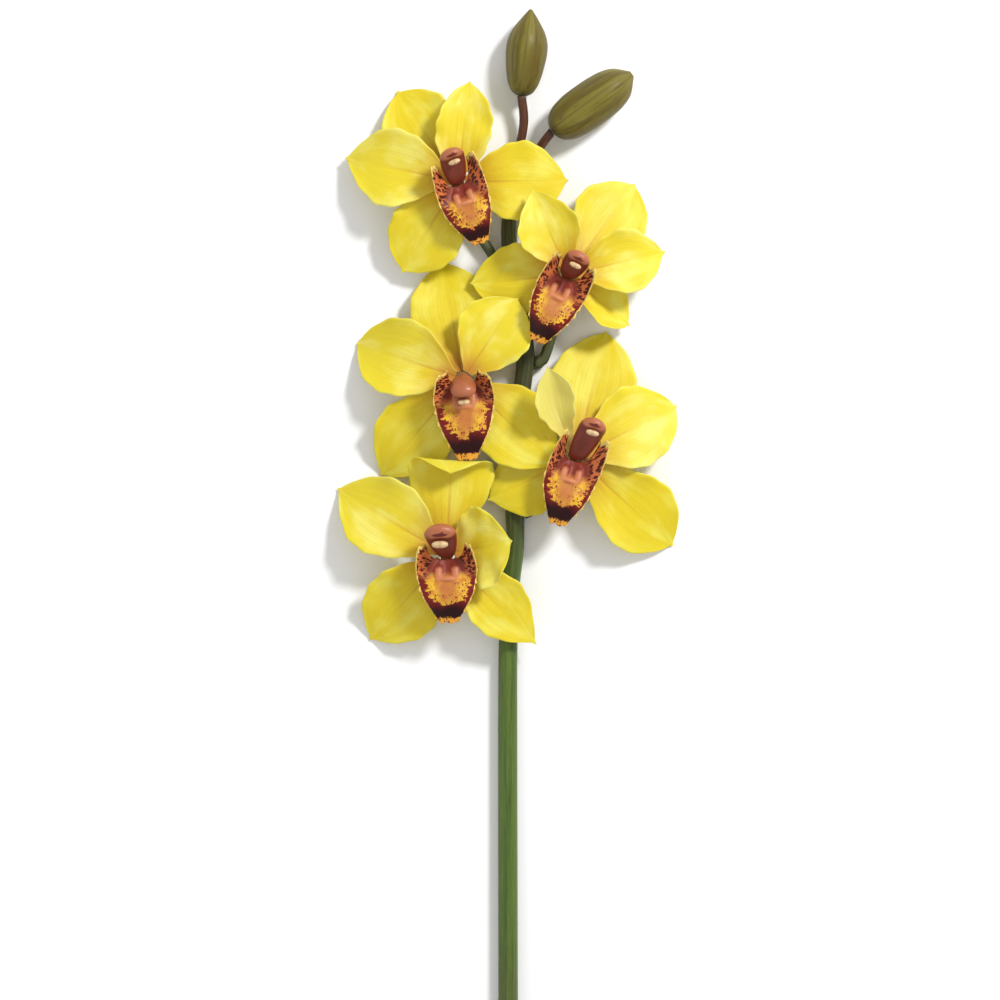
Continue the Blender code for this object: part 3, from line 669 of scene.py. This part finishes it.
class Shade:
    """A material and short calls that add nodes to it. Each call returns the new node's output socket."""

    def __init__(self, name, roughness, **settings):
        self.material = bpy.data.materials.new(name)
        self.material.use_nodes = True
        self.tree = self.material.node_tree
        self.shader = self.tree.nodes["Principled BSDF"]
        self.shader.inputs["Roughness"].default_value = roughness
        for key, value in settings.items():
            self.shader.inputs[key.replace("_", " ")].default_value = value

    def add(self, kind, values=(), **options):
        node = self.tree.nodes.new(kind)
        for key, value in options.items():
            setattr(node, key, value)
        for key, value in dict(values).items():
            if value is None:
                continue
            if isinstance(value, bpy.types.NodeSocket):
                self.tree.links.new(value, node.inputs[key])
            else:
                node.inputs[key].default_value = value
        return node

    def math(self, operation, a, b=None, c=None):
        return self.add("ShaderNodeMath", {0: a, 1: b, 2: c}, operation=operation).outputs[0]

    def times(self, *values):
        total = values[0]
        for value in values[1:]:
            total = self.math("MULTIPLY", total, value)
        return total

    def plus(self, a, b):
        return self.math("ADD", a, b)

    def minus(self, a, b):
        return self.math("SUBTRACT", a, b)

    def mark(self, name):
        """The three numbers of a named value of the mesh."""
        source = self.add("ShaderNodeAttribute", attribute_name=name)
        return self.add("ShaderNodeSeparateXYZ", {0: source.outputs["Vector"]}).outputs

    def vector(self, x, y, z=0.0):
        return self.add("ShaderNodeCombineXYZ", {0: x, 1: y, 2: z}).outputs[0]

    def ring(self, turn, radius, along):
        """A place round a stalk, so that a pattern has no seam where the ring closes."""
        angle = self.times(turn, 2 * math.pi)
        across, up = (self.times(self.math(wave, angle), radius) for wave in ("COSINE", "SINE"))
        return self.vector(across, up, along)

    def place(self):
        return self.add("ShaderNodeTexCoord").outputs["Object"]

    def noise(self, vector, scale=1.0, detail=2.0, roughness=0.5):
        values = {"Vector": vector, "Scale": scale, "Detail": detail, "Roughness": roughness}
        return self.add("ShaderNodeTexNoise", values).outputs["Fac"]

    def cells(self, vector, scale=1.0, randomness=1.0):
        values = {"Vector": vector, "Scale": scale, "Randomness": randomness}
        return self.add("ShaderNodeTexVoronoi", values).outputs

    def draw(self, cells):
        """A random number for each cell."""
        return self.add("ShaderNodeSeparateColor", {0: cells[1]}).outputs[0]

    def step(self, value, low, high, bottom=0.0, top=1.0):
        """bottom where value is under low, top where it is over high, smooth between."""
        values = {"Value": value, "From Min": low, "From Max": high, "To Min": bottom, "To Max": top}
        return self.add("ShaderNodeMapRange", values, interpolation_type="SMOOTHSTEP").outputs[0]

    def mix(self, factor, a, b, blend="MIX"):
        node = self.add("ShaderNodeMix", data_type="RGBA", blend_type=blend)
        for key, value in ((0, factor), (6, a), (7, b)):
            if isinstance(value, bpy.types.NodeSocket):
                self.tree.links.new(value, node.inputs[key])
            else:
                node.inputs[key].default_value = value if key == 0 else (*value, 1.0)
        return node.outputs[2]

    def finish(self, colour, roughness=None, height=None, strength=0.3, distance=0.0005):
        self.tree.links.new(colour, self.shader.inputs["Base Color"])
        if roughness is not None:
            self.tree.links.new(roughness, self.shader.inputs["Roughness"])
        if height is not None:
            values = {"Strength": strength, "Distance": distance, "Height": height}
            bump = self.add("ShaderNodeBump", values)
            self.tree.links.new(bump.outputs[0], self.shader.inputs["Normal"])
        return self.material


def tepal_material(name, lemon, pale, gold, tan, cream=0.0):
    """Waxy yellow with paler patches of painted highlight, painted shade in gold towards the heart, painted
    shade and reflection in tan at the claw, and fine veins that run from base to tip.
    """
    k = Shade(name, 0.46, Subsurface_Weight=0.22, Subsurface_Scale=0.002, Specular_IOR_Level=0.25)
    k.shader.inputs["Subsurface Radius"].default_value = (1.0, 0.75, 0.2)
    u, v, under = k.mark("leaf")
    lot, half, _ = k.mark("lot")
    place = k.place()
    edge = k.math("ABSOLUTE", v)
    highlight_clouds = k.vector(k.plus(k.times(u, 1.7), lot), k.times(v, 0.9), lot)
    highlight_clouds = k.noise(highlight_clouds, 1.6, 3.0)
    # the paler patches are painted highlight, placed by noise
    colour = k.mix(k.step(highlight_clouds, 0.42, 0.72), lemon, pale)
    # painted shade: gold towards the heart, where the tepals meet the column
    heart_shade = k.step(k.plus(u, k.times(highlight_clouds, 0.25)), 0.60, 0.18)
    colour = k.mix(k.times(heart_shade, 0.75), colour, gold)
    # painted shade and reflection: tan at the claw, next to the heart
    claw_shade = k.step(k.plus(u, k.times(edge, 0.10)), 0.27, 0.05)
    colour = k.mix(k.times(claw_shade, 0.8), colour, tan)
    streaks = k.noise(k.vector(k.times(u, 2.5), k.times(v, 24.0), lot), 1.0, 3.0)
    colour = k.mix(k.step(streaks, 0.48, 0.70, 0.0, 0.10), colour, gold)
    drift = k.noise(k.vector(k.times(u, 3.0), k.times(v, 2.0), lot), 1.0, 2.0)
    ridge = k.plus(k.times(v, 34.0), k.times(drift, 4.0))
    line = k.step(k.math("ABSOLUTE", k.math("SINE", ridge)), 0.0, 0.30, 1.0, 0.0)
    fade = k.times(k.step(u, 0.02, 0.18), k.step(u, 0.95, 0.55), k.step(edge, 1.0, 0.75))
    vein = k.times(line, fade)
    colour = k.mix(k.times(vein, 0.10), colour, gold)
    rib = k.times(k.step(edge, 0.05, 0.012), k.step(u, 0.92, 0.25))
    colour = k.mix(k.times(rib, 0.38), colour, gold)
    near = k.times(rib, k.step(u, 0.55, 0.20), k.step(edge, 0.004, 0.014))
    colour = k.mix(k.times(near, 0.55), colour, tan)
    rim = k.step(edge, 0.93, 1.0)
    colour = k.mix(k.times(rim, 0.45), colour, pale)
    dots = k.cells(place, 190.0)
    rare = k.step(k.draw(dots), 0.965, 0.97)
    dot = k.times(k.step(dots[0], 0.10, 0.05), rare)
    colour = k.mix(k.times(dot, 0.5), colour, (0.35, 0.20, 0.04))
    colour = k.mix(k.times(under, 0.25), colour, (0.62, 0.62, 0.10))
    colour = k.mix(k.step(half, 0.0, 1.0, 0.0, cream), colour, (0.76, 0.70, 0.24))
    grain = k.noise(place, 1700.0, 2.0)
    height = k.minus(k.times(grain, 0.25), k.times(vein, 0.6))
    rough = k.step(highlight_clouds, 0.2, 0.8, 0.40, 0.54)
    return k.finish(colour, rough, height, 0.35, 0.00035)


def lip_material():
    """Yellow and tan inside a feathered maroon band and a thin pale rim, with spotted, reddish side lobes."""
    k = Shade("lip_look", 0.42, Subsurface_Weight=0.1, Subsurface_Scale=0.0012, Specular_IOR_Level=0.22)
    k.shader.inputs["Subsurface Radius"].default_value = (1.0, 0.5, 0.2)
    u, v, under = k.mark("leaf")
    lot, a, s = k.mark("lot")
    edge = k.math("ABSOLUTE", v)
    here = k.vector(a, s, k.times(lot, 9.0))
    at_tip = k.step(u, 0.66, 0.95)
    inward = k.minus(1.0, edge)
    ring = k.minus(1.0, k.times(inward, k.minus(1.0, at_tip)))
    across = k.noise(k.vector(k.times(u, 34.0), k.times(v, 3.0), lot), 1.0, 3.0, 0.65)
    along = k.noise(k.vector(k.times(s, 1.1), k.times(u, 6.0), lot), 1.0, 3.0, 0.65)
    feather = k.plus(k.times(across, k.minus(1.0, at_tip)), k.times(along, at_tip))
    wobble = k.noise(here, 0.16, 2.0)
    deep = k.plus(ring, k.times(k.minus(feather, 0.5), 1.05))
    deep = k.plus(deep, k.times(k.minus(wobble, 0.5), 0.5))
    # the ground: golden mid lobe with a tan stripe, red side lobes, brick throat, paler ridge
    colour = k.mix(k.step(k.noise(here, 0.3, 2.0), 0.35, 0.7), (0.74, 0.45, 0.03), (0.58, 0.21, 0.03))
    stripe = k.times(k.step(edge, 0.34, 0.08), k.step(u, 0.90, 0.66))
    colour = k.mix(k.times(stripe, 0.85), colour, (0.45, 0.14, 0.04))
    lobes = k.times(k.step(u, 0.55, 0.36), k.step(edge, 0.25, 0.50))
    colour = k.mix(k.times(lobes, 0.92), colour, (0.58, 0.14, 0.045))
    throat = k.times(k.step(u, 0.46, 0.30), k.step(edge, 0.62, 0.36))
    colour = k.mix(throat, colour, (0.22, 0.032, 0.018))
    arm = k.step(k.math("ABSOLUTE", k.minus(edge, 0.16)), 0.09, 0.03)
    arm = k.times(arm, k.step(u, 0.50, 0.46), k.step(u, 0.16, 0.28))
    bridge = k.step(k.math("ABSOLUTE", k.minus(u, 0.46)), 0.05, 0.02)
    bridge = k.times(bridge, k.step(edge, 0.22, 0.16))
    ridge = k.math("MAXIMUM", arm, bridge)
    colour = k.mix(k.times(ridge, 0.85), colour, (0.60, 0.22, 0.10))
    # spots on the mid lobe, dashes on the side lobes
    spots = k.cells(k.vector(k.times(a, 0.75), k.times(s, 1.15), lot), 0.72)
    size = k.draw(spots)
    spot = k.step(k.minus(spots[0], k.times(size, 0.36)), 0.16, 0.08)
    zone = k.times(k.step(u, 0.44, 0.54), k.step(deep, 0.02, 0.42))
    colour = k.mix(k.times(spot, zone, 0.92), colour, (0.17, 0.008, 0.010))
    dashes = k.cells(k.vector(k.times(a, 0.95), k.times(s, 0.55), lot), 0.98)
    dash_size = k.draw(dashes)
    dash = k.step(k.minus(dashes[0], k.times(dash_size, 0.30)), 0.40, 0.30)
    colour = k.mix(k.times(dash, lobes, k.step(edge, 0.28, 0.5), 0.95), colour, (0.045, 0.002, 0.005))
    # the band and the rim
    band = k.step(k.plus(u, k.times(wobble, 0.12)), 0.42, 0.54)
    band = k.times(k.step(deep, 0.50, 0.56), band)
    shade = k.step(k.plus(at_tip, k.times(wobble, 0.6)), 0.40, 1.1)
    maroon = k.mix(shade, (0.17, 0.008, 0.006), (0.020, 0.0008, 0.0015))
    colour = k.mix(band, colour, maroon)
    flutter = k.minus(k.noise(here, 0.8, 2.0), 0.5)
    inset = k.step(u, 0.36, 0.52, 0.11, 0.0)
    rim = k.minus(k.plus(edge, k.times(flutter, 0.16)), inset)
    rim = k.step(rim, 0.80, 0.85)
    rim = k.math("MAXIMUM", rim, k.step(k.plus(u, k.times(flutter, 0.07)), 0.935, 0.955))
    pale = k.mix(k.step(u, 0.75, 0.95), (0.80, 0.62, 0.16), (0.80, 0.36, 0.04))
    colour = k.mix(rim, colour, pale)
    late = k.times(spot, k.math("MAXIMUM", k.step(u, 0.92, 0.95), k.times(rim, 0.5)))
    colour = k.mix(k.times(late, 0.9), colour, (0.13, 0.006, 0.01))
    colour = k.mix(k.times(under, 0.7), colour, (0.72, 0.50, 0.09))
    grain = k.noise(k.place(), 2200.0, 2.0)
    height = k.plus(k.times(grain, 0.3), k.times(feather, 0.4))
    return k.finish(colour, k.step(feather, 0.2, 0.8, 0.34, 0.5), height, 0.4, 0.0004)


def column_material():
    """Terracotta with a paler rounded head, brick red on the hollow side, and a dark band of painted shadow
    above the cap, for the shaded gap between head and cap.
    """
    k = Shade("column_look", 0.36, Subsurface_Weight=0.1, Subsurface_Scale=0.0015, Specular_IOR_Level=0.38)
    u, turn, _ = k.mark("leaf")
    cloud = k.noise(k.place(), 260.0, 3.0)
    angle = k.times(turn, 2 * math.pi)
    front = k.step(k.math("SINE", angle), 0.10, -0.35)
    colour = k.mix(cloud, (0.29, 0.070, 0.028), (0.38, 0.115, 0.046))
    colour = k.mix(k.times(k.step(u, 0.60, 0.95), 0.45), colour, (0.48, 0.17, 0.075))
    inner = k.times(front, k.step(u, 0.93, 0.80))
    colour = k.mix(k.times(inner, 0.92), colour, (0.17, 0.024, 0.012))
    # painted shadow: a dark band on the head above the cap, where the gap between them lies in shade
    slit_shadow = k.times(k.step(k.math("SINE", angle), -0.35, -0.55), k.step(u, 0.955, 0.975))
    colour = k.mix(k.times(slit_shadow, 0.9), colour, (0.10, 0.002, 0.004))
    fine = k.noise(k.place(), 1500.0, 2.0)
    return k.finish(colour, k.step(cloud, 0.3, 0.7, 0.30, 0.44), fine, 0.15, 0.0003)


def cap_material():
    """Cream with a faint brown furrow."""
    k = Shade("cap_look", 0.38, Subsurface_Weight=0.2, Subsurface_Scale=0.001)
    u, _, _ = k.mark("leaf")
    cloud = k.noise(k.place(), 700.0, 3.0)
    colour = k.mix(cloud, (0.55, 0.34, 0.16), (0.72, 0.55, 0.31))
    furrow = k.step(k.math("ABSOLUTE", k.minus(u, 0.5)), 0.07, 0.01)
    colour = k.mix(k.times(furrow, 0.5), colour, (0.45, 0.24, 0.11))
    return k.finish(colour, None, cloud, 0.15, 0.0003)


def stem_material():
    """Ribbed green, browner at the cut end and olive grey in the upper part, with dark lengthwise lines."""
    k = Shade("stem_look", 0.42, Subsurface_Weight=0.06, Subsurface_Scale=0.002, Specular_IOR_Level=0.3)
    u, turn, _ = k.mark("leaf")
    ring = k.ring(turn, 2.6, k.times(u, 5.0))
    lines = k.noise(ring, 4.6, 4.0, 0.68)
    broad = k.noise(ring, 0.7, 2.0)
    green = k.mix(k.step(broad, 0.35, 0.65), (0.058, 0.105, 0.014), (0.090, 0.145, 0.020))
    olive = k.mix(k.step(broad, 0.35, 0.65), (0.055, 0.058, 0.022), (0.090, 0.090, 0.034))
    colour = k.mix(k.step(u, 0.50, 0.66), green, olive)
    colour = k.mix(k.step(u, 0.16, 0.0, 0.0, 0.7), colour, (0.085, 0.082, 0.026))
    colour = k.mix(k.step(lines, 0.54, 0.70, 0.0, 0.50), colour, (0.17, 0.25, 0.055))
    colour = k.mix(k.step(lines, 0.47, 0.34, 0.0, 0.65), colour, (0.022, 0.036, 0.010))
    face = k.step(u, 0.0015, 0.0005)
    colour = k.mix(k.times(face, 0.8), colour, (0.34, 0.36, 0.13))
    height = k.plus(lines, k.times(k.noise(k.place(), 1400.0, 2.0), 0.25))
    return k.finish(colour, k.step(lines, 0.3, 0.7, 0.36, 0.52), height, 0.35, 0.0005)


def stalk_material(name, dark, light, start, end):
    """A thin stalk: lengthwise streaks of two colours, with others at its start and at its end."""
    k = Shade(name, 0.45, Specular_IOR_Level=0.3)
    u, turn, _ = k.mark("leaf")
    lot, _, _ = k.mark("lot")
    ring = k.ring(turn, 2.0, k.plus(k.times(u, 1.6), lot))
    lines = k.noise(ring, 2.0, 4.0, 0.6)
    colour = k.mix(k.step(lines, 0.38, 0.64), dark, light)
    colour = k.mix(k.step(u, 0.42, 0.06, 0.0, 0.8), colour, start)
    colour = k.mix(k.step(u, 0.90, 0.97), colour, end)
    return k.finish(colour, None, lines, 0.3, 0.0004)


def bud_material():
    """Olive brown, streaked lengthwise with yellow green and dark olive, and dark at the base."""
    k = Shade("bud_look", 0.46, Subsurface_Weight=0.08, Subsurface_Scale=0.002, Specular_IOR_Level=0.22)
    u, turn, _ = k.mark("leaf")
    lot, _, _ = k.mark("lot")
    reach = k.times(k.step(u, 0.0, 0.3, 0.7, 1.0), 1.6)
    ring = k.ring(turn, reach, k.plus(k.times(u, 0.9), lot))
    streaks = k.noise(ring, 4.2, 4.0, 0.6)
    broad = k.noise(ring, 0.9, 2.0)
    colour = k.mix(k.step(broad, 0.36, 0.64), (0.120, 0.088, 0.014), (0.180, 0.150, 0.022))
    colour = k.mix(k.step(streaks, 0.54, 0.74, 0.0, 0.40), colour, (0.27, 0.29, 0.07))
    colour = k.mix(k.step(streaks, 0.47, 0.34, 0.0, 0.60), colour, (0.065, 0.055, 0.016))
    colour = k.mix(k.step(u, 0.20, 0.0, 0.0, 0.8), colour, (0.028, 0.024, 0.009))
    colour = k.mix(k.step(u, 0.93, 1.0, 0.0, 0.6), colour, (0.16, 0.13, 0.03))
    height = k.plus(streaks, k.times(k.noise(k.place(), 1300.0, 2.0), 0.3))
    return k.finish(colour, k.step(streaks, 0.3, 0.7, 0.38, 0.52), height, 0.3, 0.0005)


# ---------------------------------------------------------------- the whole scene


def build_flowers():
    sepal = tepal_material("sepal_look", *SEPAL_COLOURS)
    petal = tepal_material("petal_look", *PETAL_COLOURS)
    curled = tepal_material("curled_look", *PETAL_COLOURS, CURLED_CREAM)
    lip = lip_material()
    column = column_material()
    cap = cap_material()
    stalk = stalk_material("pedicel_look", *PEDICEL_COLOURS)
    for number, (name, flower) in enumerate(FLOWERS.items(), 1):
        add_pedicel(f"{name}_pedicel", flower, stalk, number)
        for place, (part, tepal) in enumerate(flower.tepals.items()):
            inner = part.endswith("petal")
            level, slot = (PETAL_LEVEL, "petal_yellow") if inner else (SEPAL_LEVEL, "sepal_yellow")
            shade = curled if (name, part) == CURLED else petal if inner else sepal
            add_tepal(f"{name}_{part}", flower, level, tepal, shade, number * 10 + place)
        add_lip(f"{name}_lip", flower, lip, number)
        add_column(f"{name}_column", flower, column, number)
        add_cap(f"{name}_anther_cap", flower, cap, number)


def build_buds():
    stalk = stalk_material("bud_stalk_look", *BUD_STALK_COLOURS)
    shade = bud_material()
    for number, (name, bud) in enumerate(BUDS.items(), 1):
        add_bud(name, bud, stalk, shade, number)


def build_floor():
    """A plain white surface under the stem."""
    half = FLOOR_SIZE / 2
    corners = [(-half, -half, 0), (half, -half, 0), (half, half, 0), (-half, half, 0)]
    mesh = bpy.data.meshes.new("floor")
    mesh.from_pydata(corners, [], [(0, 1, 2, 3)])
    k = Shade("floor_look", 0.9, Specular_IOR_Level=0.1)
    k.shader.inputs["Base Color"].default_value = (0.95, 0.95, 0.95, 1.0)
    mesh.materials.append(k.material)
    floor = bpy.data.objects.new("floor", mesh)
    bpy.context.scene.collection.objects.link(floor)


def add_light(name, place, target, size, power):
    """A round lamp that points at the target. Metres and watts."""
    data = bpy.data.lights.new(name, "AREA")
    data.shape = "DISK"
    data.size = size
    data.energy = power
    light = bpy.data.objects.new(name, data)
    bpy.context.scene.collection.objects.link(light)
    light.location = place
    aim = bpy.data.objects.new(f"{name}_aim", None)
    bpy.context.scene.collection.objects.link(aim)
    aim.location = target
    track = light.constraints.new("TRACK_TO")
    track.target = aim
    track.track_axis = "TRACK_NEGATIVE_Z"
    track.up_axis = "UP_Y"


def build_light():
    """A key from the upper right, a weak fill from the other side and an even white surround."""
    add_light("key", (1.1, 1.2, 1.5), LIGHT_TARGET, 0.42, KEY_POWER)
    add_light("fill", (-1.4, -0.6, 1.7), LIGHT_TARGET, 1.6, FILL_POWER)
    world = bpy.data.worlds.new("studio")
    bpy.context.scene.world = world
    world.use_nodes = True
    background = world.node_tree.nodes["Background"]
    background.inputs["Color"].default_value = (1.0, 1.0, 1.0, 1.0)
    background.inputs["Strength"].default_value = WORLD_STRENGTH
    bpy.context.scene.view_settings.view_transform = "Standard"


def build_camera():
    """Straight above the stem, with its buds at the top of the view."""
    data = bpy.data.cameras.new("camera")
    data.lens = data.sensor_width * VIEW_DISTANCE / VIEW_WIDTH
    camera = bpy.data.objects.new("camera", data)
    bpy.context.scene.collection.objects.link(camera)
    camera.location = (VIEW_OFFSET[0] * MM + SHIFT[0], VIEW_OFFSET[1] * MM + SHIFT[1], VIEW_DISTANCE)
    bpy.context.scene.camera = camera


SHIFT = centring()
add_stem(stem_material())
build_flowers()
build_buds()
build_floor()
build_light()
build_camera()
